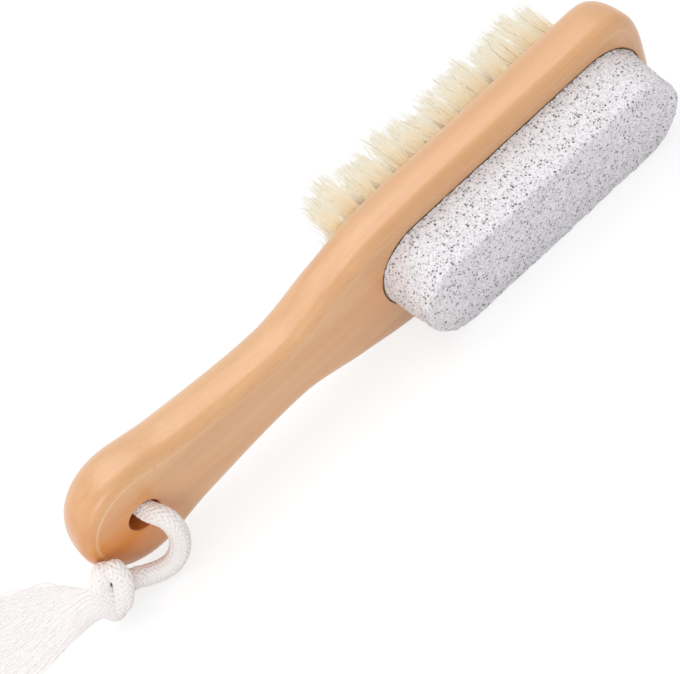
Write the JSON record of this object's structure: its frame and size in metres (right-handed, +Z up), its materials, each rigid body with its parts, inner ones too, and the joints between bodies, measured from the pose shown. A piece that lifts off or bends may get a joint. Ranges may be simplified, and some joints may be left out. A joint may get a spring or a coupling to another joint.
{
  "type": "pumice foot file",
  "caption": "Wooden hand-held foot file with a pumice block on one face, bristle tufts on the other and a knotted cotton hanging cord with a frayed tassel.",
  "frame": {"origin": "on the floor, under the centre of the tool's box as it lies on its side, the cord left out", "axes": "+X along the handle from the butt to the head, -Y towards the side the pumice faces, +Z up from the floor"},
  "size_m": [0.2592, 0.0643, 0.0456],
  "materials": {
    "lacquered_wood": "clear satin lacquer over pale close-grained wood",
    "pumice": "dry, matt and full of small open pores",
    "glue": "set adhesive, out of sight",
    "bristle": "natural fibre with a slight sheen",
    "anchor_wire": "flat drawn wire",
    "cotton": "soft undyed braid"
  },
  "bodies": {
    "brush": {"handle_board": "lacquered_wood", "pumice_stone": "pumice", "stone_glue_layer": "glue", "bristle_row_1": "bristle", "bristle_row_2": "bristle", "bristle_row_3": "bristle", "bristle_row_4": "bristle", "tuft_anchor_1_01": "anchor_wire", "tuft_anchor_1_02": "anchor_wire", "tuft_anchor_1_03": "anchor_wire", "tuft_anchor_1_04": "anchor_wire", "tuft_anchor_1_05": "anchor_wire", "tuft_anchor_1_06": "anchor_wire", "tuft_anchor_1_07": "anchor_wire", "tuft_anchor_2_01": "anchor_wire", "tuft_anchor_2_02": "anchor_wire", "tuft_anchor_2_03": "anchor_wire", "tuft_anchor_2_04": "anchor_wire", "tuft_anchor_2_05": "anchor_wire", "tuft_anchor_2_06": "anchor_wire", "tuft_anchor_2_07": "anchor_wire", "tuft_anchor_3_01": "anchor_wire", "tuft_anchor_3_02": "anchor_wire", "tuft_anchor_3_03": "anchor_wire", "tuft_anchor_3_04": "anchor_wire", "tuft_anchor_3_05": "anchor_wire", "tuft_anchor_3_06": "anchor_wire", "tuft_anchor_3_07": "anchor_wire", "tuft_anchor_4_01": "anchor_wire", "tuft_anchor_4_02": "anchor_wire", "tuft_anchor_4_03": "anchor_wire", "tuft_anchor_4_04": "anchor_wire", "tuft_anchor_4_05": "anchor_wire", "tuft_anchor_4_06": "anchor_wire", "tuft_anchor_4_07": "anchor_wire"},
    "cord": {"cord_loop": "cotton", "cord_knot": "cotton", "cord_tassel": "cotton"}
  },
  "joints": [
    {"name": "cord_swing", "type": "hinge", "parent": "brush", "child": "cord", "pos_m": [-0.084, -0.00021, 0.02244], "axis": [0, 0.9167, 0.3996], "range_deg": [-60, 120]}
  ]
}
